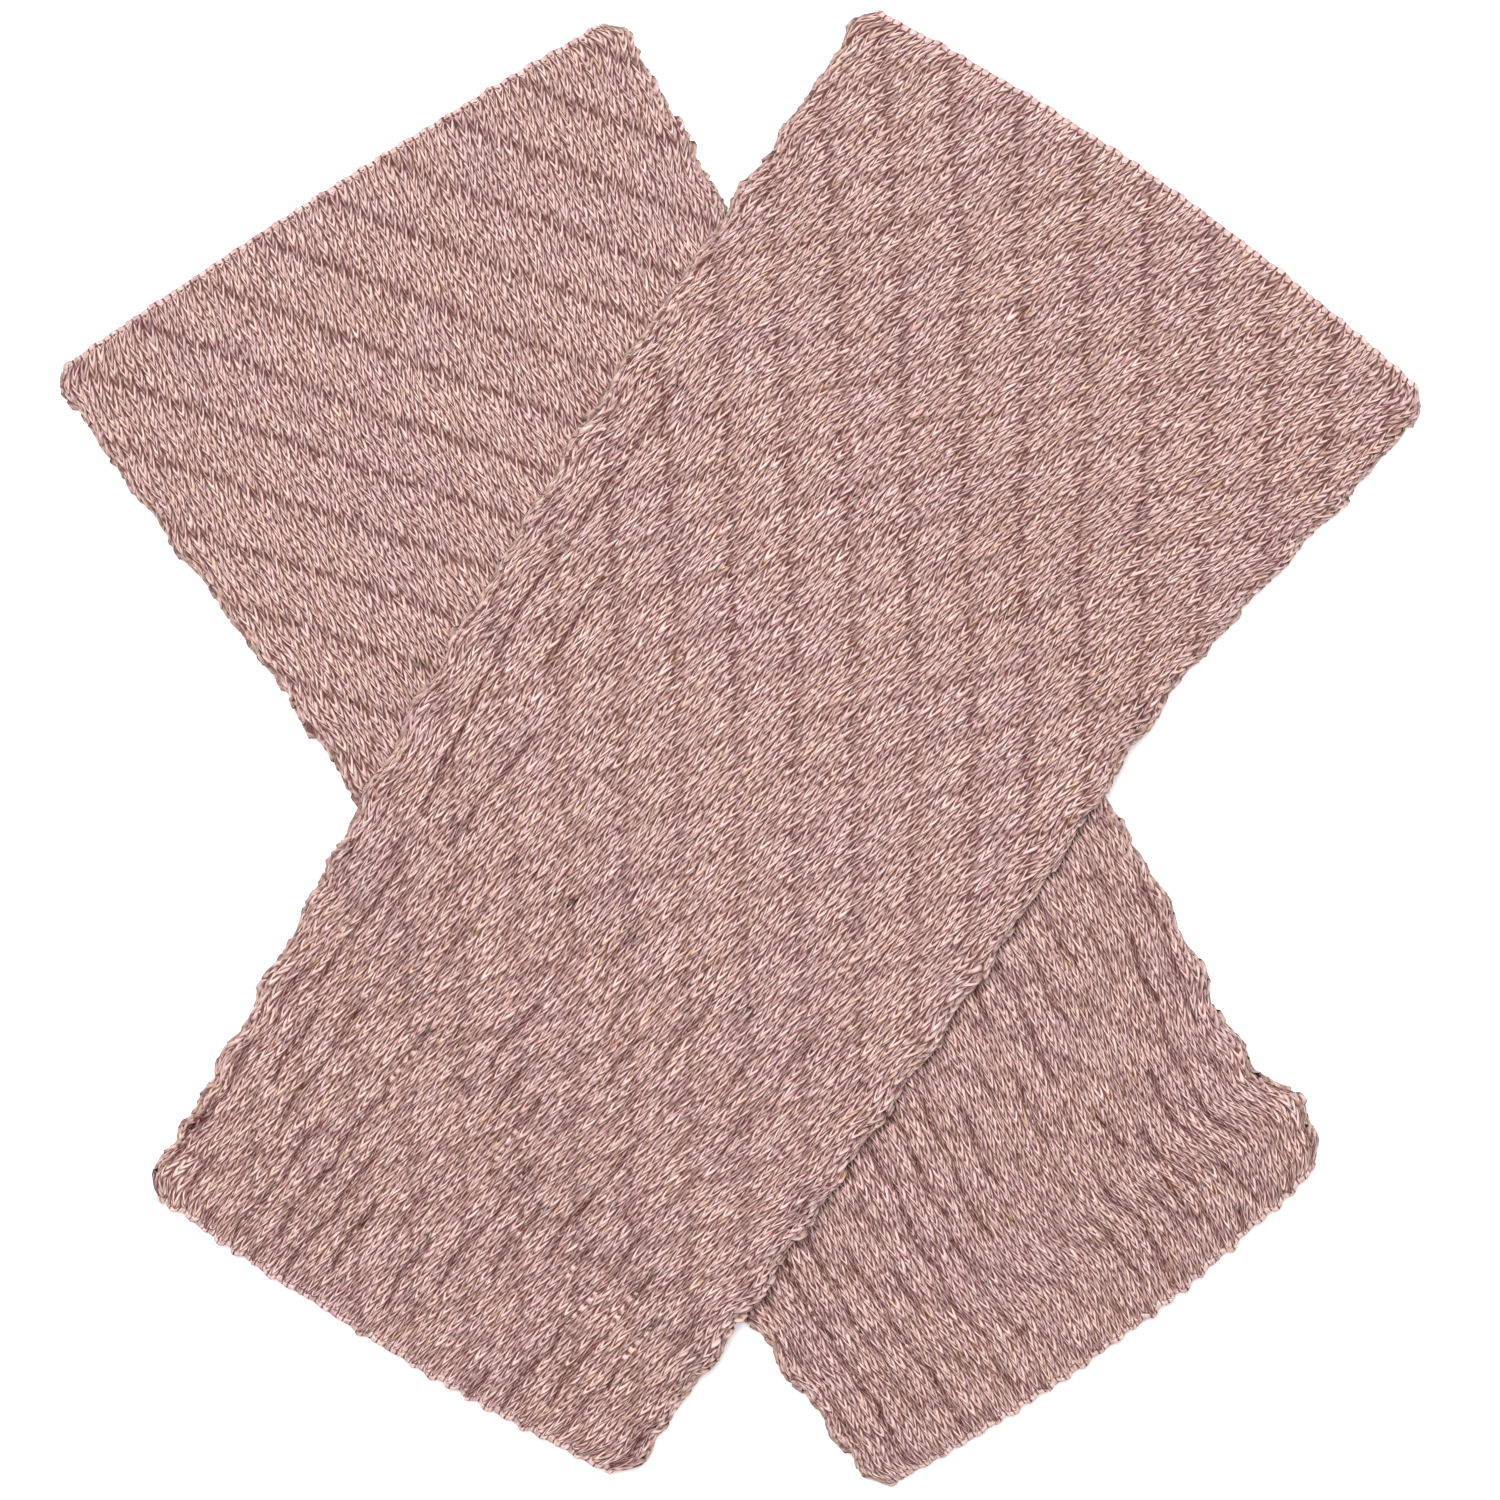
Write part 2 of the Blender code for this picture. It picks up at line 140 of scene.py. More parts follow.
INNER_WALES = 3  # the plain inner wall has a point at every so many wales
INNER_COURSES = 8
INNER_RIM = 0.8  # the courses from a rim to the inner wall's first points
LEVELS = 9  # the levels at which a band is measured
TINY = 1e-6


class Row(NamedTuple):
    """What a warmer measures at one level of its length."""

    along: float  # the level
    left: float  # the side edges
    right: float
    drift: float  # how far the leaning wales have moved to the right
    course: float  # the height of a course
    puff: float  # how far the diamonds rise


class Edge(NamedTuple):
    """The level of an open end at its left corner, in the middle and at its right corner."""

    left: float
    middle: float
    right: float


class Crease(NamedTuple):
    """A soft trough in the top layer, or a ridge where the depth is negative."""

    from_across: float
    from_along: float
    to_across: float
    to_along: float
    depth: float
    width: float


class Warmer(NamedTuple):
    name: str
    centre: tuple  # the place of its own frame in the pair
    turn: float  # degrees, anticlockwise
    phase: float  # the course of a crossing of the lattice on the middle wale
    rows: tuple
    narrow: Edge
    wide: Edge
    creases: tuple
    line_strengths: tuple  # how clear each of the two families of lattice lines is
    seed: int


LOWER = Warmer(
    name="lower_warmer",
    centre=(-4.15, -3.70),
    turn=33.4,
    phase=-1.5,
    rows=(  # along, left, right, drift, course, puff
        Row(-120, -44.8, 50.3, -2.7, 1.75, 1.00),
        Row(-107, -45.5, 51.6, -1.8, 1.77, 1.00),
        Row(-98, -46.0, 48.4, -1.3, 1.78, 1.00),
        Row(-86, -46.7, 49.0, -0.6, 1.80, 0.95),
        Row(-64, -48.3, 51.8, 2.1, 1.83, 0.85),
        Row(-42, -49.4, 52.8, 3.2, 1.86, 0.75),
        Row(34, -53.8, 52.8, 6.4, 1.86, 0.55),
        Row(60, -54.5, 53.0, 8.5, 1.80, 0.50),
        Row(79, -55.7, 53.8, 10.8, 1.74, 0.45),
        Row(99, -57.0, 55.6, 14.9, 1.70, 0.40),
        Row(120, -57.5, 56.7, 19.4, 1.68, 0.35),
    ),
    narrow=Edge(left=-119.0, middle=-119.9, right=-113.6),
    wide=Edge(left=119.6, middle=120.1, right=117.8),
    creases=(
        Crease(35.1, -104.0, 37.2, -113.0, depth=0.8, width=1.8),
        Crease(25.7, -100.0, 26.4, -110.0, depth=0.7, width=1.8),
        Crease(21.1, -84.0, 23.0, -93.0, depth=0.6, width=1.8),
        Crease(15.1, -62.0, 16.3, -55.0, depth=0.5, width=1.8),
        Crease(38.5, -103.0, 49.0, -108.5, depth=-0.7, width=3.2),
    ),
    line_strengths=(1.0, 0.35),
    seed=3,
)

UPPER = Warmer(
    name="upper_warmer",
    centre=(3.82, -1.95),
    turn=-33.4,
    phase=-1.0,
    rows=(  # along, left, right, drift, course, puff
        Row(-120, -47.5, 48.2, -15.0, 1.75, 0.90),
        Row(-100, -48.4, 48.8, -13.2, 1.81, 0.90),
        Row(-77, -49.7, 49.4, -11.2, 1.87, 0.85),
        Row(-55, -51.9, 50.0, -8.2, 1.91, 0.80),
        Row(-10, -55.0, 51.2, -4.8, 1.95, 0.65),
        Row(34, -56.8, 51.4, 0.5, 1.90, 0.55),
        Row(56, -56.9, 52.5, 2.4, 1.81, 0.50),
        Row(79, -56.4, 55.7, 5.6, 1.765, 0.45),
        Row(101, -56.1, 59.3, 8.8, 1.76, 0.40),
        Row(120, -56.4, 61.2, 13.0, 1.76, 0.35),
    ),
    narrow=Edge(left=-119.9, middle=-120.2, right=-116.4),
    wide=Edge(left=118.2, middle=120.7, right=115.0),
    creases=(
        Crease(-47.8, 46.0, -48.7, 0.0, depth=0.6, width=2.2),
        Crease(-48.7, 0.0, -44.2, -38.0, depth=0.6, width=2.2),
        Crease(-41.4, -48.0, -42.3, -74.0, depth=0.8, width=2.2),
        Crease(-39.8, 11.0, -39.8, -8.0, depth=0.6, width=2.0),
        Crease(-35.4, -18.0, -36.3, -42.0, depth=0.6, width=2.0),
    ),
    line_strengths=(1.0, 0.75),
    seed=5,
)


def smooth(t):
    """From 0 to 1 with level ends."""
    t = np.clip(t, 0.0, 1.0)
    return t * t * (3 - 2 * t)


# The tube's form


def measures_at(warmer, along):
    """The warmer's measures at any levels, on smooth curves through its rows."""
    table = np.array(warmer.rows, dtype=float)
    levels = table[:, 0]
    along = np.clip(along, levels[0], levels[-1])
    i = np.clip(np.searchsorted(levels, along, side="right") - 1, 0, len(levels) - 2)
    before = np.maximum(i - 1, 0)
    after = np.minimum(i + 2, len(levels) - 1)
    span = levels[i + 1] - levels[i]
    t = (along - levels[i]) / span
    values = []
    for column in table.T:
        low, high = column[i], column[i + 1]
        slope_low = (high - column[before]) / (levels[i + 1] - levels[before]) * span
        slope_high = (column[after] - low) / (levels[after] - levels[i]) * span
        values.append(
            (2 * t**3 - 3 * t**2 + 1) * low
            + (t**3 - 2 * t**2 + t) * slope_low
            + (3 * t**2 - 2 * t**3) * high
            + (t**3 - t**2) * slope_high
        )
    return Row(*values)


def course_levels(warmer):
    """The level of each course, from the narrow end's rim to the wide end's rim or just past it."""
    level, end = warmer.rows[0].along + LIP, warmer.rows[-1].along - LIP
    levels = [level]
    while level < end:
        half_way = level + float(measures_at(warmer, level).course) / 2
        level += float(measures_at(warmer, half_way).course)
        levels.append(level)
    return np.array(levels)


def last_course(warmer):
    """The course at the wide end's rim, with its part of a stitch."""
    levels = course_levels(warmer)
    end = warmer.rows[-1].along - LIP
    return len(levels) - 1 - (levels[-1] - end) / (levels[-1] - levels[-2])


def lattice(warmer, wale, course):
    """How far a place is past the nearest line of each family, as a share of a diamond: 0 to 1."""
    rising = ((wale + course - warmer.phase) / DIAMOND) % 1.0
    falling = ((wale - course + warmer.phase) / DIAMOND) % 1.0
    return rising, falling


def relief(warmer, wale, course):
    """From 0 on the lattice's lines to 1 where a diamond is fullest, near its lower tip."""
    rising, falling = lattice(warmer, wale, course)
    height = 1.0
    for share in (rising, 1 - falling):
        height = height * np.abs(np.sin(math.pi * share**SAG)) ** ROUNDNESS
    return height


def lines(warmer, wale, course):
    """How deep the lattice's lines are at a place, from 0 to 1."""
    depth = 0.0
    for share, strength in zip(lattice(warmer, wale, course), warmer.line_strengths):
        to_line = np.minimum(share, 1 - share) * DIAMOND
        depth = np.maximum(depth, strength * np.exp(-((to_line / LINE_WIDTH) ** 2)))
    return depth


def gathered(level):
    """How far the cloth is drawn together at a level: 1 at the narrow end."""
    return smooth((level - GATHER_FROM) / (GATHER_TO - GATHER_FROM))


def chance(i, j):
    """A number from 0 to 1 for each pair of numbers, as the last digits of a large sine."""
    return np.sin(i * 12.9898 + j * 78.233) * 43758.5453 % 1.0


def lucky(luck_range, luck):
    """The least of a range, and as much more of it as luck gives."""
    least, more = luck_range
    return least + more * luck


def folds(warmer, wale, course):
    """The folds of a gathered cloth, which run along the wales through the lattice's crossings.

    Three answers: the soft trough, about 1 in it, the narrow split at its bottom, and how far a place is drawn
    towards the split, in wales.
    """
    trough, split, pull = 0.0, 0.0, 0.0
    for half in (0, DIAMOND / 2):
        column = np.floor((wale + half) / DIAMOND + 0.5)
        line = np.floor((course - warmer.phase + half) / DIAMOND + 0.5)
        to_wale = wale + half - column * DIAMOND
        to_course = course - warmer.phase + half - line * DIAMOND
        luck = chance(column % (WALES / DIAMOND) + half, line + warmer.seed)
        hook = GATHER_HOOK * smooth(-to_course / GATHER_LENGTH - HOOK_FROM) * lucky(HOOK_LUCK, luck)
        bend = GATHER_BEND * np.sin(to_course + 2 * math.pi * luck)
        away = to_wale - hook - bend
        along = to_course / (GATHER_LENGTH * lucky(LENGTH_LUCK, luck))
        strength = lucky(STRENGTH_LUCK, luck) * np.exp(-(along**4))
        trough = trough + strength * np.exp(-((away / GATHER_WIDTH) ** 2))
        split = np.maximum(split, strength * np.exp(-((away / SPLIT_WIDTH) ** 2)))
        pull = pull - GATHER_PULL * np.minimum(strength, 1) * away * np.exp(-((away / PULL_WIDTH) ** 2))
    return trough, split, pull


def woven(warmer, wale, course):
    """How far a place is drawn to the side, in wales: wales are closer in a diamond than where lines cross."""
    rising, falling = lattice(warmer, wale, course)
    return WEAVE / 2 * (np.sin(2 * math.pi * rising) + np.sin(2 * math.pi * falling))


def creases(warmer, across, along):
    """How deep the creases are at a place on the top layer, and how far it is in the split of one: 0 to 1."""
    depth, split = np.zeros_like(across), np.zeros_like(across)
    for c in warmer.creases:
        dx, dy = c.to_across - c.from_across, c.to_along - c.from_along
        t = ((across - c.from_across) * dx + (along - c.from_along) * dy) / (dx * dx + dy * dy)
        t = np.clip(t, 0.0, 1.0)
        away = np.hypot(across - c.from_across - t * dx, along - c.from_along - t * dy)
        depth += c.depth * np.exp(-((away / c.width) ** 2))
        if c.depth > 0:
            split = np.maximum(split, np.exp(-((away / CREASE_SPLIT) ** 2)))
    return depth, split


def turned(warmer, across, along):
    """A place in a warmer's frame, in the pair's frame."""
    a = math.radians(warmer.turn)
    x = warmer.centre[0] + across * math.cos(a) - along * math.sin(a)
    y = warmer.centre[1] + across * math.sin(a) + along * math.cos(a)
    return x, y


def turned_back(warmer, x, y):
    a = math.radians(warmer.turn)
    dx, dy = x - warmer.centre[0], y - warmer.centre[1]
    return dx * math.cos(a) + dy * math.sin(a), dy * math.cos(a) - dx * math.sin(a)


def lift(warmer, across, along):
    """How far the warmer on top is raised by the one it lies on."""
    if warmer is LOWER:
        return np.zeros_like(across)
    under_across, under_along = turned_back(LOWER, *turned(warmer, across, along))
    under = measures_at(LOWER, under_along)
    outside = np.maximum(under.left - under_across, under_across - under.right)
    return (THICK + under.puff + CLEARANCE) * (1 - smooth((outside - OVERHANG) / RUN))


class Tube(NamedTuple):
    """Places on the tube's outside before it is knitted, or on its inner wall."""

    across: np.ndarray
    along: np.ndarray
    up: np.ndarray
    out_across: np.ndarray  # the direction straight out of the surface
    out_up: np.ndarray
    drawn: np.ndarray  # how far the cloth is gathered
    pull: np.ndarray  # how far the wales are drawn to the side
    split: np.ndarray  # how far a place is in the split of a fold or crease


def tube(warmer, wale, course, inside=False):
    levels = course_levels(warmer)
    level = np.interp(course, np.arange(len(levels)), levels)
    row = measures_at(warmer, level)
    half = (row.right - row.left) / 2
    middle = (row.right + row.left) / 2
    flat_half = half - FOLD
    side_arc = math.pi * FOLD_RADIUS
    half_girth = 2 * flat_half + side_arc
    pitch = half_girth / (WALES / 2)

    # the way round the tube, from the middle of the top layer: over it, round a side, along the underside
    arc = (wale * pitch + row.drift + half_girth) % (2 * half_girth) - half_girth
    side = np.where(arc < 0, -1.0, 1.0)
    round_side = np.clip((np.abs(arc) - flat_half) / FOLD_RADIUS, 0.0, math.pi)
    underneath = np.maximum(np.abs(arc) - flat_half - side_arc, 0.0)
    out_across = side * np.sin(round_side)
    out_up = np.cos(round_side)
    flat_across = side * (np.minimum(np.abs(arc), flat_half) - underneath)

    drawn = gathered(level)
    trough, split, pull = folds(warmer, wale, course)
    pull = pitch * (drawn * pull + (1 - drawn) * woven(warmer, wale, course))
    diamonds = relief(warmer, wale, course)
    puffed = diamonds * (1 - GATHERED * drawn) + (1 - trough) * GATHERED * drawn
    swell = row.puff * puffed
    if inside:
        slit_half = half - SIDE_WALL
        offset = np.clip(flat_across + out_across * FOLD, -slit_half, slit_half)
        up = BACK_WALL + SLIT * (1 + out_up) / 2
    else:
        edge_wale = (side * half_girth / 2 - row.drift) / pitch
        scallop = SCALLOP * row.puff * relief(warmer, edge_wale, course)
        offset = flat_across + out_across * FOLD
        offset = offset + side * scallop * (np.abs(offset) / half) ** EDGE_REACH
        up = THICK / 2 * (1 + out_up) + swell * (1 + out_up) / 2

    # the outline's round corners draw the sides in near an open end
    to_end = np.minimum(level - warmer.rows[0].along, warmer.rows[-1].along - level)
    near = np.maximum(CORNER - to_end, 0.0)
    inset = CORNER - np.sqrt(CORNER**2 - near**2)
    offset -= np.sign(offset) * inset * (np.abs(offset) / half) ** CORNER_REACH

    # the courses bend as the two open ends do
    t = offset / half
    share = (level - warmer.rows[0].along) / (warmer.rows[-1].along - warmer.rows[0].along)
    along = 0.0
    for edge, weight in ((warmer.narrow, 1 - share), (warmer.wide, share)):
        tilt = (edge.right - edge.left) / 2
        bow = (edge.left + edge.right) / 2 - edge.middle
        along = along + weight * (edge.middle + tilt * t + bow * t * t)
    across = middle + offset
    on_top = np.maximum(out_up, 0.0)
    crease, crease_split = creases(warmer, across, along)
    split = np.maximum(split * drawn, crease_split) * on_top
    if not inside:
        up = up - (crease + GATHER_DEPTH * drawn * trough) * on_top - SPLIT_DEPTH * split
    return Tube(across, along, up, out_across, out_up, drawn, pull, split)


# The knitting


def columns_of(warmer, low, high):
    """The wale of each column of points round the tube, between two courses, from the underside's middle."""
    levels = course_levels(warmer)
    measures = measures_at(warmer, np.interp(np.linspace(low, high, LEVELS), np.arange(len(levels)), levels))
    flat_half = (measures.right - measures.left) / 2 - FOLD
    pitch = (2 * flat_half + math.pi * FOLD_RADIUS) / (WALES / 2)
    side_wales = SIDE_SHARE * math.pi * FOLD_RADIUS / pitch
    first = math.floor(np.min((-flat_half - measures.drift) / pitch - side_wales))
    last = math.ceil(np.max((flat_half - measures.drift) / pitch + side_wales))
    columns = []
    for wale in range(first, first + WALES):
        shares = FRONT_SHARES if wale <= last else BACK_SHARES
        columns += [wale + share for share in shares]
    return np.array(columns)


def squeezed(to_rim):
    """Courses to an open end's rim, where those within one course of it or over it are drawn together."""
    return np.where(to_rim > 1, to_rim, np.exp(RIM_SQUEEZE * (np.minimum(to_rim, 1) - 1)))


def up_leg(share):
    """How far up its leg a place is, from 0 at the foot of the stitch to 1 at the side of the wale."""
    return np.where(share < FOOT, (FOOT - share) / (0.5 + FOOT), (share - FOOT) / (0.5 - FOOT))


def course_of(warmer, row, share):
    """The course of a place on a leg."""
    last = last_course(warmer)
    course = squeezed(row + SLANT * up_leg(share))
    return last - squeezed(last - course)


def stitch_shares(column):
    """(share across its wale, -0.5 to 0.5, and the leg's number) of each column of points."""
    wale = np.floor(column + 0.5 + TINY)
    share = column - wale
    leg = 2 * wale.astype(int) + (share > FOOT)
    return share, leg


class Yarn(NamedTuple):
    """How uneven the knitting is."""

    seed: int
    fullness: np.ndarray  # of each leg
    shifts: np.ndarray  # of the groove below each leg, in courses
    staggers: np.ndarray  # of each wale, at even steps, in courses
    pits: np.ndarray  # the hole at the foot of each stitch, from 0 to 1
    bends: np.ndarray  # of the wales and the courses, at even steps


def uneven_yarn(warmer, courses):
    """One number for each course and leg, or each course and wale, from the first ones."""
    random = np.random.default_rng(warmer.seed)
    courses += EXTRA_ROWS + 2
    course = np.arange(courses)[:, None] - EXTRA_ROWS
    wale = np.arange(WALES)[None, :]
    even = np.where((course + wale) % 2 == 0, 1 + ALTERNATE, 1 - ALTERNATE)
    size = (courses, 2 * WALES)
    fullness = random.normal(1.0, UNEVEN, size) * np.repeat(even, 2, axis=1)
    shifts = random.normal(0.0, SHIFT, size)
    steps = (courses // WANDER_STITCHES + 3, WALES // WANDER_STITCHES)
    bends = random.uniform(-WANDER, WANDER, (2, *steps))
    staggers = random.uniform(-STAGGER, STAGGER, (courses // STAGGER_COURSES + 3, WALES))
    pits = random.random((courses, WALES))
    pits = np.clip(1 - pits / PIT_CHANCE, 0.0, 1.0) * PIT_MOST
    start = round(warmer.phase)
    rising = (wale + course - start) % DIAMOND == 0
    falling = (wale - course + start) % DIAMOND == 0
    on_line = 0.0
    for line, strength in zip((rising, falling), warmer.line_strengths):
        on_line = on_line + strength * line * random.uniform(*ON_LINE_LUCK, pits.shape)
    pits = np.maximum(pits, np.minimum(on_line, PIT_MOST_ON_LINE))
    return Yarn(warmer.seed, fullness, shifts, staggers, pits, bends)


def wandered(bends, wale, course):
    """How far a place has wandered from its even place, on smooth waves through the bends."""
    x, y = wale / WANDER_STITCHES, course / WANDER_STITCHES
    i, j = np.floor(x).astype(int), np.floor(y).astype(int)
    tx, ty = smooth(x - i), smooth(y - j)
    j = np.clip(j, 0, bends.shape[0] - 2)
    left, right = i % bends.shape[1], (i + 1) % bends.shape[1]
    low = bends[j, left] * (1 - tx) + bends[j, right] * tx
    high = bends[j + 1, left] * (1 - tx) + bends[j + 1, right] * tx
    return low * (1 - ty) + high * ty


def staggered(staggers, column, row):
    """How far the stitches are from their even courses, for lists of places."""
    wale = np.floor(column + 0.5 + TINY).astype(int) % WALES
    step = (row + EXTRA_ROWS) / STAGGER_COURSES
    number = np.floor(step).astype(int)
    t = smooth(step - number)[:, None]
    return staggers[number][:, wale] * (1 - t) + staggers[number + 1][:, wale] * t


def leg_form(across_leg, up):
    """How full the legs are, for lists of places across them and up them."""
    lines = [np.interp(up, UP_LEG, line) for line in LEG_FORM]
    form = np.zeros((len(across_leg), len(up)))
    for low in range(len(LEG_FORM) - 1):
        start, stop = ACROSS_LEG[low], ACROSS_LEG[low + 1]
        t = np.clip((across_leg - start) / (stop - start), 0.0, 1.0)[:, None]
        inside = ((across_leg >= start) & (across_leg <= stop))[:, None]
        form = np.where(inside, lines[low] * (1 - t) + lines[low + 1] * t, form)
    return form


def point_chances(seed, row, column):
    """Two numbers by chance for each point, the same in both bands where they meet."""
    across, along = np.meshgrid(column % WALES, row)
    first = chance(across * 3.7 + seed, along * 5.3)
    second = chance(across * 7.1 + seed, along * 2.9)
    return 2 * first - 1, 2 * second - 1


def knitted(warmer, column, row, uneven):
    """Points of the outside with its stitches. column and row are lists of where they are.

    With each point, four marks from 0 to 1 for the yarn's colour, which the material uses for painted shade and
    a sandy side tint:
    how far it is on a line of the lattice, in a hole, in the split of a fold, and at a side edge.
    """
    share, leg = stitch_shares(column)
    wale, course_share = np.meshgrid(column, row)
    share = np.broadcast_to(share, wale.shape)
    number = np.floor(row + TINY).astype(int)
    across_leg = row - number
    up = up_leg(share)
    inner = (up > 0.1) & (up < 0.9)
    this_leg = number[:, None] + EXTRA_ROWS, leg[None, :] % (2 * WALES)
    next_leg = number[:, None] + EXTRA_ROWS + 1, leg[None, :] % (2 * WALES)
    shift = uneven.shifts[this_leg] * (1 - across_leg[:, None]) + uneven.shifts[next_leg] * across_leg[:, None]
    within = smooth(np.minimum(row, last_course(warmer) - row) - 1)[:, None]
    shift = shift * inner + staggered(uneven.staggers, column, row)
    course = course_of(warmer, course_share + shift * within, share)

    # one leg: pinched where it starts and ends, and the next one up its wale lies over its end
    form = leg_form(across_leg, up[0])
    fullness = np.where(inner, uneven.fullness[this_leg] * (1 + LEAN * np.sign(share - FOOT)), 1.0)
    stitch = np.floor(column + 0.5 + TINY).astype(int) % WALES
    foot = np.interp(up, UP_LEG[:3], PIT_UP)
    foot = foot * np.interp(across_leg, ACROSS_LEG, PIT_ACROSS)[:, None]
    pit = uneven.pits[number[:, None] + EXTRA_ROWS, stitch[None, :]] * foot
    to_rim = np.minimum(course, last_course(warmer) - course)
    over_rim = RIM_FULLNESS + (1 - RIM_FULLNESS) * smooth(to_rim / RIM_REACH)
    height = LEG_HEIGHT * form * fullness * over_rim - LEG_SINK

    base = tube(warmer, wale, course)
    off_side = smooth(OFF_SIDE * np.abs(base.out_up))
    line = lines(warmer, wale, course) * (1 - LINE_LOST * base.drawn) * off_side
    pit = pit * off_side * (1 + PIT_GATHERED * base.drawn)
    height = height - PIT_DEPTH * pit - LINE_DEPTH * line
    rough, sway = point_chances(uneven.seed, row, column)
    height = height + ROUGH * rough * within
    underneath = smooth(UNDERNEATH[1] - UNDERNEATH[0] * base.out_up)
    pressed = -BACK_SINK * (1 - form) - BACK_LINE * line - BACK_SKIN
    height = height * (1 - underneath) + pressed * underneath
    hollow = np.clip(pit, 0.0, 1.0)
    side = 1 - smooth(SIDE_FADE * np.abs(base.out_up))

    across = base.across + base.out_across * height
    sideways = wandered(uneven.bends[0], wale, course) + base.pull
    across = across + (sideways + SWAY * sway * within) * np.abs(base.out_up)
    up = np.maximum(base.up + base.out_up * height, 0.0)
    along = base.along + wandered(uneven.bends[1], wale, course) * within
    along = along + rim_wave(warmer, wale, course)
    place = np.stack([across, along, up + lift(warmer, across, along)], axis=-1)
    return place, line, hollow, base.split, side


def rim_wave(warmer, wale, course):
    """How far the wavy open ends move a place along the tube. Each bump has its own height."""
    number = np.floor(wale / RIM_WAVE + 0.5) % round(WALES / RIM_WAVE)
    bump = np.sqrt(RIM_ROUND**2 + np.cos(math.pi * wale / RIM_WAVE) ** 2) - RIM_ROUND
    wave = 2 * bump * lucky(BUMP_LUCK, chance(number, warmer.seed)) - BUMP_LEVEL
    narrow = 1 - smooth(course / RIM_WAVE_REACH)
    wide = 1 - smooth((last_course(warmer) - course) / RIM_WAVE_REACH)
    return wave * (WIDE_RIM_BUMP * wide - RIM_BUMP * narrow)


def inner_wall(warmer, column, course):
    wale, course = np.meshgrid(column, course)
    base = tube(warmer, wale, course, inside=True)
    return np.stack([base.across, base.along, base.up + lift(warmer, base.across, base.along)], axis=-1)


def evened(values):
    """The running mean of values round the tube, over about one wale."""
    count = len(FRONT_SHARES) + 1
    half = count // 2
    padded = np.concatenate([values[-half:], values, values[:half]])
    return np.convolve(padded, np.ones(count) / count, mode="valid")


def lip_rings(warmer, column, ring, course, end):
    """The rounded rim of an open end, from the knitted outside to the inner wall."""
    inside = inner_wall(warmer, column, np.array([course]))[0]
    ring = ring.copy()
    ring[:, 1] = inside[:, 1] = evened(ring[:, 1])
    share, _ = stitch_shares(column)
    luck = chance(np.floor(column + 0.5 + TINY) % WALES, warmer.seed)
    chain = RIM_CHAIN * (CHAIN_LUCK + luck) * np.cos(2 * math.pi * share)
    middle, arm = (ring + inside) / 2, (ring - inside) / 2
    rings = []
    for angle in LIP_ANGLES:
        turn = math.radians(angle)
        place = middle + arm * math.cos(turn)
        place[:, 1] += end * (LIP + chain) * math.sin(turn)
        rings.append(place)
    return rings


# From points to meshes


def grid_faces(rows, columns):
    """(ring, column) of the corners of each square. The last column is the first one again."""
    ring, column = np.meshgrid(np.arange(rows - 1), np.arange(columns), indexing="ij")
    ring, column = ring.ravel(), column.ravel()
    return (
        np.stack([ring, ring, ring + 1, ring + 1], axis=-1),
        np.stack([column, column + 1, column + 1, column], axis=-1),
    )


def bridge(outer_columns, inner_columns):
    """Triangles between a fine ring and a coarse one: the kind (0 fine, 1 coarse) and column of each corner."""
    owner = np.searchsorted(inner_columns, outer_columns + TINY) - 1
    owner = np.maximum(owner, 0)
    kinds, columns = [], []
    count = len(outer_columns)
    for i in range(count):
        following = owner[i + 1] if i + 1 < count else len(inner_columns)
        kinds.append((0, 0, 1))
        columns.append((i, i + 1, owner[i]))
        if following != owner[i]:
            kinds.append((0, 1, 1))
            columns.append((i + 1, following, owner[i]))
    return np.array(kinds), np.array(columns)


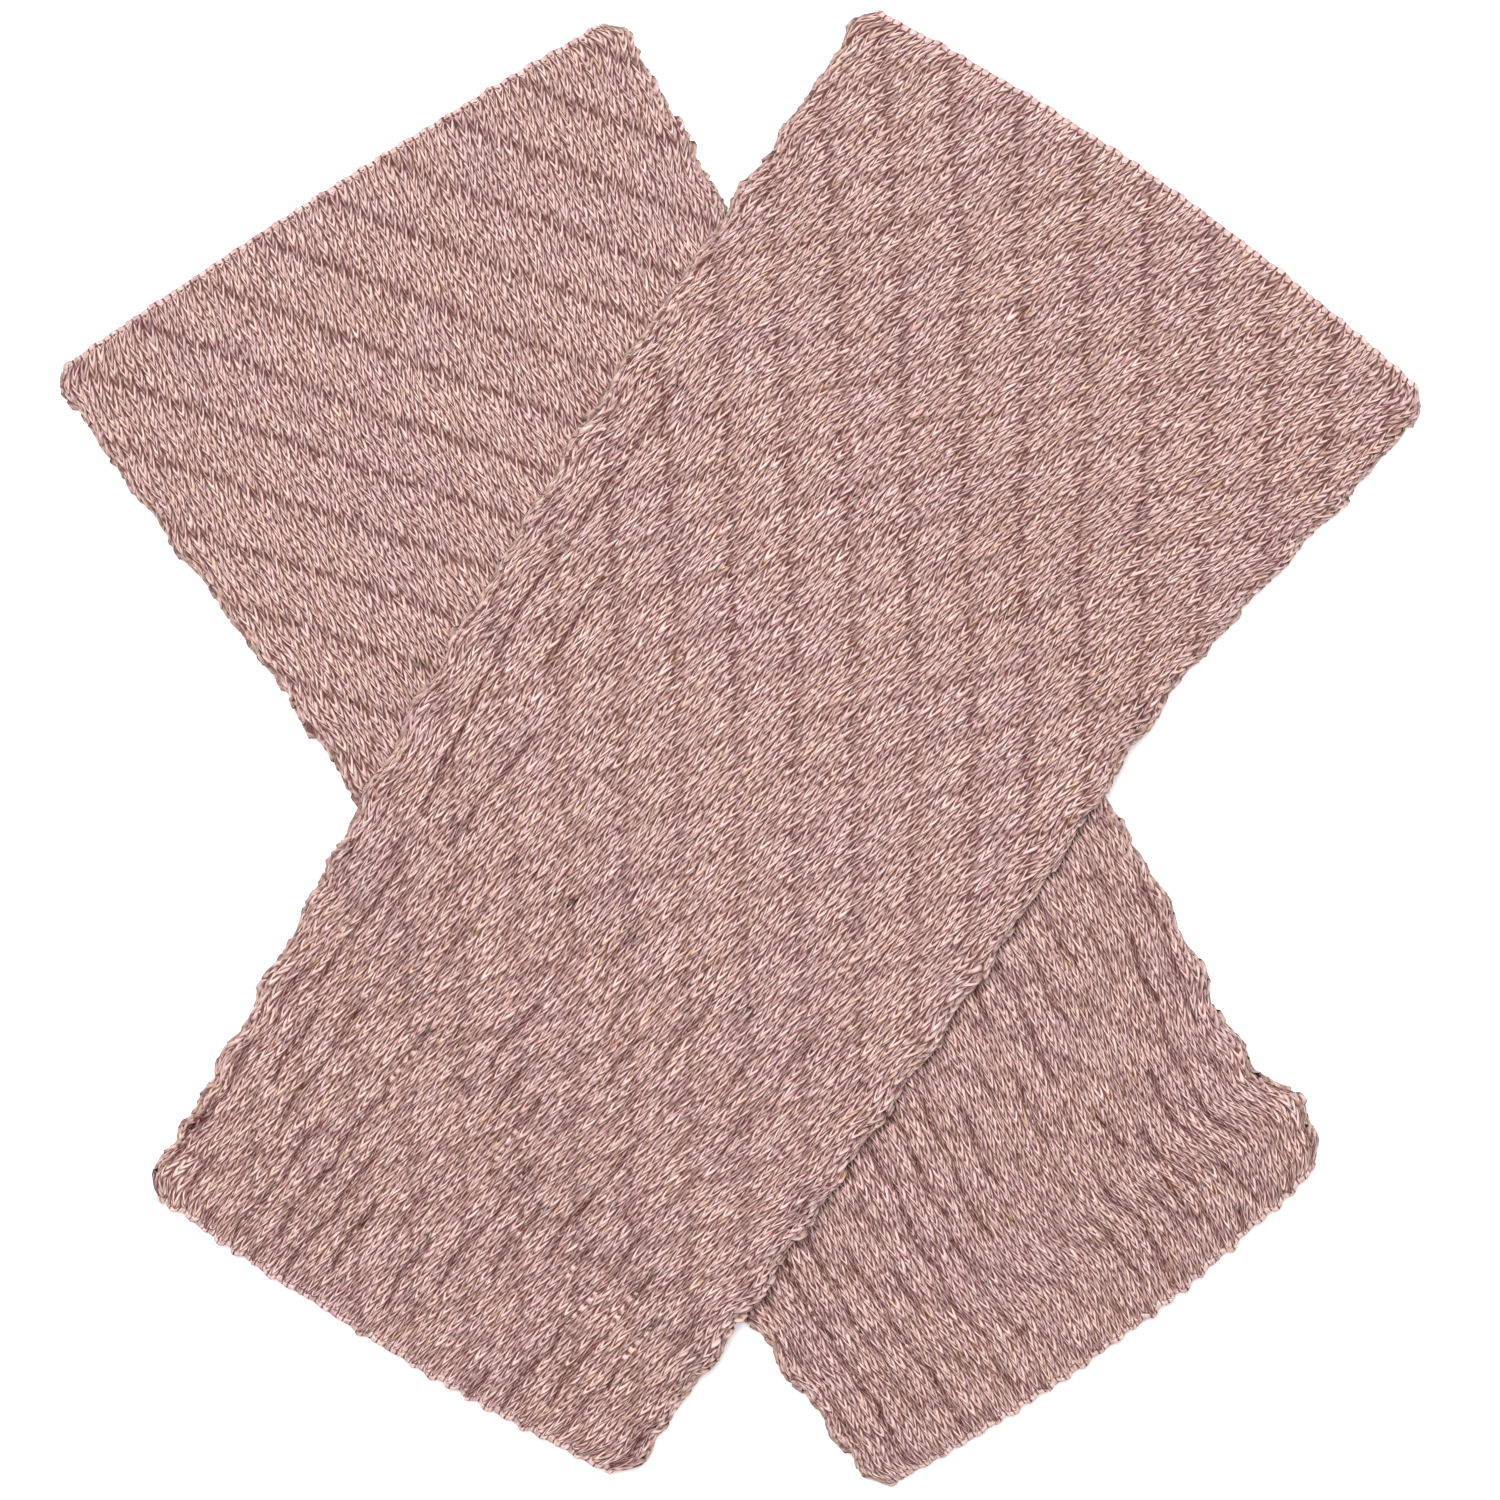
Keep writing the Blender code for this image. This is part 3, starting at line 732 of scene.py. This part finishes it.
def band(warmer, name, rows, columns, material, uneven, narrow_end, wide_end):
    """One band of a warmer: a closed tube of knitted outside and plain inner wall."""
    outside, *marks = knitted(warmer, columns, rows, uneven)
    rings = list(outside)
    knit_rows = list(rows)
    marks = [list(mark) for mark in marks]
    if narrow_end:
        for ring in lip_rings(warmer, columns, outside[0], 0.0, -1):
            rings.insert(0, ring)
            knit_rows.insert(0, math.floor(rows[0]) + LIP_ROW)
            for mark in marks:
                mark.insert(0, mark[0] * LIP_MARKS)
    if wide_end:
        for ring in lip_rings(warmer, columns, outside[-1], last_course(warmer), 1):
            rings.append(ring)
            knit_rows.append(math.floor(rows[-1]) + LIP_ROW)
            for mark in marks:
                mark.append(mark[-1] * LIP_MARKS)
    rings = np.array(rings)
    knit_rows = np.array(knit_rows)

    first = INNER_RIM if narrow_end else rows[0] + SLANT / 2
    final = last_course(warmer) - INNER_RIM if wide_end else rows[-1] + SLANT / 2
    inner_columns = columns[0] + np.arange(0, WALES, INNER_WALES)
    inner_courses = np.linspace(first, final, max(2, round((final - first) / INNER_COURSES) + 1))
    inside = inner_wall(warmer, inner_columns, inner_courses)

    places = np.concatenate([rings.reshape(-1, 3), inside.reshape(-1, 3)])
    fine, coarse = len(columns), len(inner_columns)
    offset = len(rings) * fine
    fine_wales = np.append(columns, columns[0] + WALES)
    coarse_wales = np.append(inner_columns, inner_columns[0] + WALES)
    fine_shares = (fine_wales - columns[0]) / WALES
    coarse_shares = (coarse_wales - columns[0]) / WALES
    map_rows = np.linspace(MAP_MARGIN, OUTSIDE_SHARE, len(rings))
    inner_map_rows = np.linspace(INSIDE_START, INSIDE_END, len(inner_courses))

    faces, knit_map, bake_map = [], [], []

    def add(corners, wales, knit_values, shares, map_values):
        faces.append(corners)
        knit_map.append(np.stack([wales, knit_values], axis=-1))
        bake_map.append(np.stack([MAP_MARGIN + (1 - 2 * MAP_MARGIN) * shares, map_values], axis=-1))

    ring, column = grid_faces(len(rings), fine)
    add(ring * fine + column % fine, fine_wales[column], knit_rows[ring], fine_shares[column], map_rows[ring])

    ring, column = grid_faces(len(inner_courses), coarse)
    corners = (offset + ring * coarse + column % coarse)[:, ::-1]
    ring, column = ring[:, ::-1], column[:, ::-1]
    add(corners, coarse_wales[column], inner_courses[ring], coarse_shares[column], inner_map_rows[ring])

    kinds, column = bridge(columns, inner_columns)
    for ring, inner_ring, map_row in (
        (0, 0, INSIDE_START),
        (len(rings) - 1, len(inner_courses) - 1, INSIDE_END),
    ):
        fine_corner = ring * fine + column % fine
        coarse_corner = offset + inner_ring * coarse + column % coarse
        corners = np.where(kinds == 0, fine_corner, coarse_corner)
        fine_wale, coarse_wale = fine_wales[np.minimum(column, fine)], coarse_wales[np.minimum(column, coarse)]
        wales = np.where(kinds == 0, fine_wale, coarse_wale)
        knit_values = np.where(kinds == 0, knit_rows[ring], inner_courses[inner_ring])
        away = -MAP_MARGIN if ring == 0 else MAP_MARGIN
        map_values = np.where(kinds == 0, map_row + away, map_row)
        values = [corners, wales, knit_values, (wales - columns[0]) / WALES, map_values]
        add(*[value[:, ::-1] if ring == 0 else value for value in values])

    mesh = bpy.data.meshes.new(name)
    x, y = turned(warmer, places[:, 0], places[:, 1])
    vertices = np.stack([x, y, places[:, 2]], axis=-1) * MM
    polygons = [face for group in faces for face in group.tolist()]
    mesh.from_pydata(vertices.tolist(), [], polygons)
    for map_name, values in (("OFBake", bake_map), ("knit", knit_map)):
        layer = mesh.uv_layers.new(name=map_name)
        layer.data.foreach_set("uv", np.concatenate([v.reshape(-1, 2) for v in values]).ravel())
    padding = np.zeros(inside.shape[0] * inside.shape[1])
    for attribute_name, mark in zip(("line", "hollow", "split", "side"), marks):
        attribute = mesh.attributes.new(attribute_name, "FLOAT", "POINT")
        attribute.data.foreach_set("value", np.concatenate([np.ravel(mark), padding]))
    mesh.shade_smooth()
    mesh.materials.append(material)
    piece = bpy.data.objects.new(name, mesh)
    bpy.context.scene.collection.objects.link(piece)
    return piece


def flat_size(warmer, low, high):
    """(round the tube, along it) of the cloth between two courses, in metres."""
    levels = course_levels(warmer)
    low_level, high_level = np.interp([low, high], np.arange(len(levels)), levels)
    row = measures_at(warmer, np.linspace(low_level, high_level, LEVELS))
    half_girth = (row.right - row.left) - 2 * FOLD + math.pi * FOLD_RADIUS
    return float(2 * half_girth.mean() * MM), float((high_level - low_level) * MM)


def knit_warmer(warmer, bands, material):
    """A warmer in bands of like length, named from its narrow end to its wide end."""
    last = last_course(warmer)
    uneven = uneven_yarn(warmer, math.ceil(last))
    cuts = [round(last * i / len(bands)) for i in range(len(bands) + 1)]
    for number, band_name in enumerate(bands):
        low, high = cuts[number], cuts[number + 1]
        narrow_end, wide_end = number == 0, number == len(bands) - 1
        start = -EXTRA_ROWS if narrow_end else low
        stop = math.ceil(last) if wide_end else high
        rows = np.array([n + share for n in range(start, stop) for share in ROW_SHARES] + [stop])
        if narrow_end:
            rows = np.append(-SLANT, rows[rows > -SLANT + 0.1])
        if wide_end:
            rows = np.append(rows[rows < last - 0.1], last)
        columns = columns_of(warmer, low, min(high, last))
        name = f"{warmer.name}_{band_name}"
        piece = band(warmer, name, rows, columns, material, uneven, narrow_end, wide_end)
        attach(piece, "root")
        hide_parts(warmer.name)
        flat_size(warmer, low, min(high, last))


# The yarn


class Nodes:
    """Adds nodes to a material, so that a formula reads like one."""

    def __init__(self, material):
        self.tree = material.node_tree

    def new(self, kind, inputs=(), **settings):
        node = self.tree.nodes.new(kind)
        for name, value in settings.items():
            setattr(node, name, value)
        for name, value in dict(inputs).items():
            self.put(node.inputs[name], value)
        return node

    def put(self, socket, value):
        if isinstance(value, bpy.types.NodeSocket):
            self.tree.links.new(value, socket)
        else:
            socket.default_value = value

    def math(self, operation, *values):
        node = self.new("ShaderNodeMath", operation=operation)
        for socket, value in zip(node.inputs, values):
            self.put(socket, value)
        return node.outputs[0]

    def times(self, a, b):
        return self.math("MULTIPLY", a, b)

    def most(self, a, b):
        return self.math("MAXIMUM", a, b)

    def scaled(self, value, factor, offset):
        return self.math("MULTIPLY_ADD", value, factor, offset)

    def mix(self, share, a, b, blend="MIX"):
        node = self.new("ShaderNodeMix", data_type="RGBA", blend_type=blend)
        self.put(node.inputs["Factor"], share)
        self.put(node.inputs["A"], a)
        self.put(node.inputs["B"], b)
        return node.outputs["Result"]

    def ramp(self, value, low, high):
        """From 0 at low to 1 at high."""
        node = self.new("ShaderNodeMapRange", {"Value": value, "From Min": low, "From Max": high})
        node.interpolation_type = "SMOOTHSTEP"
        return node.outputs["Result"]

    def vector(self, x, y, z=0.0):
        return self.new("ShaderNodeCombineXYZ", {"X": x, "Y": y, "Z": z}).outputs[0]

    def attribute(self, name):
        return self.new("ShaderNodeAttribute", attribute_name=name).outputs["Fac"]


ROSE = (0.54, 0.345, 0.318, 1.0)
# painted shade: the colour that grooves, holes, the lattice's lines and the folds' splits are darkened towards
ROSE_PAINTED_SHADE = (0.080, 0.010, 0.007, 1.0)
# painted highlight: the colour that the backs of the legs are lightened towards
ROSE_PAINTED_HIGHLIGHT = (0.88, 0.66, 0.63, 1.0)
MAUVE = (0.47, 0.31, 0.325, 1.0)
SAND = (0.62, 0.39, 0.26, 1.0)
LEG_TONE = (0.16, 0.90)  # how much the legs differ in brightness, and the darkest of them
WARP = (0.22, 0.40)  # how far the drawn legs stray from their even places, in wales and courses
WARP_SCALE = 0.8  # how fast that changes from one stitch to the next

# Flecks: which legs have them, and in which patches of the yarn
PATCH_SCALE = 70.0  # patches in a metre
FLECK = 0.8  # how strong their colour is
MAUVE_LEGS, MAUVE_PATCHES = (0.55, 0.95), (0.45, 0.65)
SAND_LEGS, SAND_PATCHES = (0.82, 0.98), (0.6, 0.45)

# Strokes along the wales, which break the painted highlight and the painted shade into patches and give the
# fine bump
STROKE_LEAN = 0.22  # how far the strokes lean to the right, in wales for each course
STROKE_SHIFT = 0.4  # how far those of the right legs are from those of the left ones, in wales
STROKE_SIZE = (0.28, 0.85)  # of a stroke, in wales and courses
HIGHLIGHT_STROKES = (0.42, 0.56)  # the strokes between which the painted highlight gets strong
HIGHLIGHT_PATCH = (0.54, 0.30)  # how much the painted highlight grows in a patch, and how much of it there is between patches
SHINE_AT, SHINE_WIDTH = 0.5, 0.34  # where the painted highlight lies across the leg, from the groove below it to the one above, and how far it reaches
SHINE = (0.9, 0.1)  # how much painted highlight the leg's back has, and how much its sides have

# Painted shade in the grooves and holes: the ranges over which each gets dark. edge is 0 on the leg's back and
# 1 in the grooves beside it, and up is 0 at its foot and 1 at its end.
GAP = 0.85  # how dark the painted shade in the grooves between the legs of a wale is, half way up them
GAP_EDGE = (0.66, 0.86)
GAP_STROKES, GAP_OPEN = (0.56, 0.46), (0.55, 0.45)
UNDER_FOOT_EDGE, UNDER_FOOT_UP = (0.5, 0.8), (0.48, 0.28)
UNDER_FOOT_LEGS = (0.25, 0.75)
INSIDE_FOOT_ACROSS, INSIDE_FOOT_UP = (0.6, 0.8), (0.34, 0.20)
LEG_END_EDGE, LEG_END_UP = (-0.6, 0.3), (0.70, 0.86)
HOLE_STROKES = (0.72, 0.56)
AWAY_FROM_LINE = 0.95  # how dark the painted shade in the holes is away from the lattice's lines
BETWEEN_LEGS = (0.25, 0.7)
LINE_DARK = 0.85  # how dark the painted shade on the legs' edges is on those lines
LINE_RANGE = (0.28, 0.8)
LINE_SHADE = 0.08  # how much painted shade all of a line has
SPLIT_RANGE = (0.25, 0.75)
SPLIT_DARK = (0.35, 0.65)  # how much painted shade a fold's split has between the legs, and how much on them
SIDE_DARK = 0.5  # how much of the painted shade is lost at a side edge
SIDE_SAND = 0.3  # how much of the sand's colour a side edge has
DARKEST = 0.92


def yarn(name, tone):
    """Doubled melange yarn, unevenly spun: rose, with mauve and sand-coloured flecks, as bright as tone. Its
    colour also holds painted shade in the grooves, holes, lattice lines and folds, and a painted highlight on
    the legs' backs.
    """
    material = bpy.data.materials.new(name)
    material.use_nodes = True
    nodes = Nodes(material)
    shader = material.node_tree.nodes["Principled BSDF"]
    shader.inputs["Roughness"].default_value = 0.85
    shader.inputs["Specular IOR Level"].default_value = 0.12
    shader.inputs["Sheen Weight"].default_value = 0.06
    shader.inputs["Sheen Roughness"].default_value = 0.45
    shader.inputs["Sheen Tint"].default_value = (1.0, 0.86, 0.82, 1.0)

    # where each leg is, strayed a little from its even place
    knit = nodes.new("ShaderNodeUVMap", uv_map="knit").outputs["UV"]
    even = nodes.new("ShaderNodeSeparateXYZ", {"Vector": knit})
    stray = nodes.new("ShaderNodeTexNoise", {"Vector": knit, "Scale": WARP_SCALE, "Detail": 1.0})
    stray = nodes.new("ShaderNodeSeparateColor", {"Color": stray.outputs["Color"]})
    to_side = nodes.math("SUBTRACT", stray.outputs["Red"], 0.5)
    wale = nodes.scaled(to_side, 2 * WARP[0], even.outputs["X"])
    upwards = nodes.math("SUBTRACT", stray.outputs["Green"], 0.5)
    row = nodes.scaled(upwards, 2 * WARP[1], even.outputs["Y"])
    stitch = nodes.math("FLOOR", nodes.math("ADD", wale, 0.5))
    share = nodes.math("SUBTRACT", wale, stitch)
    right = nodes.math("GREATER_THAN", share, FOOT)
    leg = nodes.scaled(stitch, 2.0, right)
    course = nodes.math("FLOOR", row)
    across_leg = nodes.math("FRACT", row)
    identity = nodes.vector(leg, course)
    chance_node = nodes.new("ShaderNodeTexWhiteNoise", {"Vector": identity}, noise_dimensions="3D")
    chances = nodes.new("ShaderNodeSeparateColor", {"Color": chance_node.outputs["Color"]})

    # strokes run up the wales, a little to the right; they break up the painted highlight and shade
    leaning = nodes.scaled(even.outputs["Y"], -STROKE_LEAN, even.outputs["X"])
    leaning = nodes.scaled(right, STROKE_SHIFT, leaning)

    def strokes(place):
        vector = nodes.vector(
            nodes.math("DIVIDE", leaning, STROKE_SIZE[0]),
            nodes.math("DIVIDE", even.outputs["Y"], STROKE_SIZE[1]),
            place,
        )
        settings = {"Vector": vector, "Scale": 1.0, "Detail": 1.5, "Roughness": 0.6}
        return nodes.new("ShaderNodeTexNoise", settings).outputs["Fac"]

    dark_strokes, light_strokes = strokes(0.0), strokes(7.0)

    # melange: some legs are mauve, some sand, in patches along the yarn
    place = nodes.new("ShaderNodeTexCoord").outputs["Object"]
    patches = {"Vector": place, "Scale": PATCH_SCALE, "Detail": 2.0}
    patches = nodes.new("ShaderNodeTexNoise", patches).outputs["Fac"]
    colour = ROSE
    for fleck, leg_chance, legs, where in (
        (MAUVE, chances.outputs["Green"], MAUVE_LEGS, MAUVE_PATCHES),
        (SAND, chances.outputs["Blue"], SAND_LEGS, SAND_PATCHES),
    ):
        strength = nodes.times(nodes.ramp(leg_chance, *legs), nodes.ramp(patches, *where))
        colour = nodes.mix(nodes.times(strength, FLECK), colour, fleck)

    # painted highlight: lighter on the backs of the legs, in patches along the wales
    off_back = nodes.math("ABSOLUTE", nodes.math("SUBTRACT", across_leg, SHINE_AT))
    shine = nodes.scaled(nodes.ramp(off_back, SHINE_WIDTH, 0.0), *SHINE)
    highlight_patches = nodes.scaled(nodes.ramp(light_strokes, *HIGHLIGHT_STROKES), *HIGHLIGHT_PATCH)
    colour = nodes.mix(nodes.times(shine, highlight_patches), colour, ROSE_PAINTED_HIGHLIGHT)

    # painted shade: darker between the legs, and in the holes at their feet and ends
    edge = nodes.math("ABSOLUTE", nodes.scaled(across_leg, 2.0, -1.0))
    right_up = nodes.math("DIVIDE", nodes.math("SUBTRACT", share, FOOT), 0.5 - FOOT)
    left_up = nodes.math("DIVIDE", nodes.math("SUBTRACT", FOOT, share), 0.5 + FOOT)
    up = nodes.most(right_up, left_up)
    open_gap = nodes.scaled(nodes.ramp(dark_strokes, *GAP_STROKES), *GAP_OPEN)
    gap = nodes.times(nodes.ramp(edge, *GAP_EDGE), nodes.times(open_gap, GAP))
    under_foot = nodes.times(nodes.ramp(edge, *UNDER_FOOT_EDGE), nodes.ramp(up, *UNDER_FOOT_UP))
    under_foot = nodes.times(under_foot, nodes.ramp(chances.outputs["Red"], *UNDER_FOOT_LEGS))
    inside_foot = nodes.times(nodes.ramp(across_leg, *INSIDE_FOOT_ACROSS), nodes.ramp(up, *INSIDE_FOOT_UP))
    leg_end = nodes.times(nodes.ramp(edge, *LEG_END_EDGE), nodes.ramp(up, *LEG_END_UP))
    holes = nodes.most(nodes.most(under_foot, inside_foot), leg_end)
    dark = nodes.most(gap, nodes.times(holes, nodes.ramp(dark_strokes, *HOLE_STROKES)))

    # painted shade, darker still on the lattice's lines and in the folds, less so at the side edges, which look
    # sandy
    line, side = nodes.attribute("line"), nodes.attribute("side")
    dark = nodes.times(dark, nodes.scaled(line, 1 - AWAY_FROM_LINE, AWAY_FROM_LINE))
    between_legs = nodes.ramp(edge, *BETWEEN_LEGS)
    on_line = nodes.times(nodes.ramp(line, *LINE_RANGE), nodes.times(between_legs, LINE_DARK))
    split = nodes.ramp(nodes.attribute("split"), *SPLIT_RANGE)
    split = nodes.times(split, nodes.scaled(between_legs, *SPLIT_DARK))
    dark = nodes.most(dark, nodes.most(on_line, split))
    dark = nodes.most(dark, nodes.attribute("hollow"))
    dark = nodes.times(dark, nodes.scaled(side, -SIDE_DARK, 1.0))
    colour = nodes.mix(nodes.times(side, SIDE_SAND), colour, SAND)
    colour = nodes.mix(nodes.times(dark, DARKEST), colour, ROSE_PAINTED_SHADE)
    colour = nodes.mix(nodes.times(line, LINE_SHADE), colour, ROSE_PAINTED_SHADE)
    leg_tone = nodes.scaled(chance_node.outputs["Value"], LEG_TONE[0] * tone, LEG_TONE[1] * tone)
    colour = nodes.mix(1.0, colour, nodes.vector(leg_tone, leg_tone, leg_tone), blend="MULTIPLY")
    nodes.put(shader.inputs["Base Color"], colour)

    height = nodes.math("SUBTRACT", light_strokes, dark)
    bump = nodes.new("ShaderNodeBump", {"Strength": 0.6, "Distance": 0.0002, "Height": height})
    nodes.put(shader.inputs["Normal"], bump.outputs["Normal"])
    return material


# The studio

AIM = (1.63, -0.30)  # what the middle of the photograph shows
FRAME_WIDTH = 257.1
AIM_UP = 5.0  # the height at which the frame is that wide
LENS = 200.0
SENSOR = 36.0
FLOOR_SIZE = 6000.0
FLOOR_LEVEL = -0.05
PAPER = (0.93, 0.93, 0.93, 1.0), (0.95, 0.95, 0.95, 1.0)  # the darkest and lightest of the floor
KEY_PLACE = (-0.08, 0.20, 1.45)  # in metres
KEY_SIZE = 0.6  # in metres
KEY_POWER = 27.0  # in watts
WORLD_LIGHT = 0.36


def camera():
    data = bpy.data.cameras.new("camera")
    data.lens = LENS
    data.sensor_width = SENSOR
    distance = FRAME_WIDTH * LENS / SENSOR
    data.clip_start = 0.05
    data.clip_end = 20.0
    body = bpy.data.objects.new("camera", data)
    body.location = (AIM[0] * MM, AIM[1] * MM, (AIM_UP + distance) * MM)
    bpy.context.scene.collection.objects.link(body)
    bpy.context.scene.camera = body


def floor():
    half = FLOOR_SIZE / 2 * MM
    mesh = bpy.data.meshes.new("floor")
    low = FLOOR_LEVEL * MM
    corners = [(-half, -half, low), (half, -half, low), (half, half, low), (-half, half, low)]
    mesh.from_pydata(corners, [], [(0, 1, 2, 3)])
    material = bpy.data.materials.new("paper")
    material.use_nodes = True
    nodes = Nodes(material)
    shader = material.node_tree.nodes["Principled BSDF"]
    shader.inputs["Roughness"].default_value = 0.9
    shader.inputs["Emission Color"].default_value = (1.0, 1.0, 1.0, 1.0)
    shader.inputs["Emission Strength"].default_value = 0.22
    noise = nodes.new("ShaderNodeTexNoise", {"Scale": 3.0, "Detail": 2.0}).outputs["Fac"]
    nodes.put(shader.inputs["Base Color"], nodes.mix(noise, *PAPER))
    mesh.materials.append(material)
    piece = bpy.data.objects.new("floor", mesh)
    bpy.context.scene.collection.objects.link(piece)


def area_light(name, place, size, power):
    """A square soft light that faces the middle of the pair. place is in metres."""
    data = bpy.data.lights.new(name, "AREA")
    data.shape = "SQUARE"
    data.size = size
    data.energy = power
    lamp = bpy.data.objects.new(name, data)
    lamp.location = place
    bpy.context.scene.collection.objects.link(lamp)
    lamp.rotation_mode = "QUATERNION"
    lamp.rotation_quaternion = (-lamp.location).to_track_quat("-Z", "Y")


def studio():
    bpy.context.scene.view_settings.view_transform = "Standard"
    world = bpy.data.worlds.new("studio")
    world.use_nodes = True
    background = world.node_tree.nodes["Background"]
    background.inputs["Color"].default_value = (1.0, 1.0, 1.0, 1.0)
    background.inputs["Strength"].default_value = WORLD_LIGHT
    bpy.context.scene.world = world
    area_light("key", KEY_PLACE, KEY_SIZE, KEY_POWER)


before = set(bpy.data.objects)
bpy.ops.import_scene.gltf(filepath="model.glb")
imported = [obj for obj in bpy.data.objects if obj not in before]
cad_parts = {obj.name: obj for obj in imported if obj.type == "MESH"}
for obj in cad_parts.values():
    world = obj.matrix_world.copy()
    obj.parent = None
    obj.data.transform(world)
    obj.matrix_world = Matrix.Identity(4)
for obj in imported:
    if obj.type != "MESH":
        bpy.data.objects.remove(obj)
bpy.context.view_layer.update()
camera()
floor()
knit_warmer(LOWER, ("ankle", "middle", "calf"), yarn("lower_yarn", 0.98))
knit_warmer(UPPER, ("ankle", "middle", "calf"), yarn("upper_yarn", 1.0))
studio()
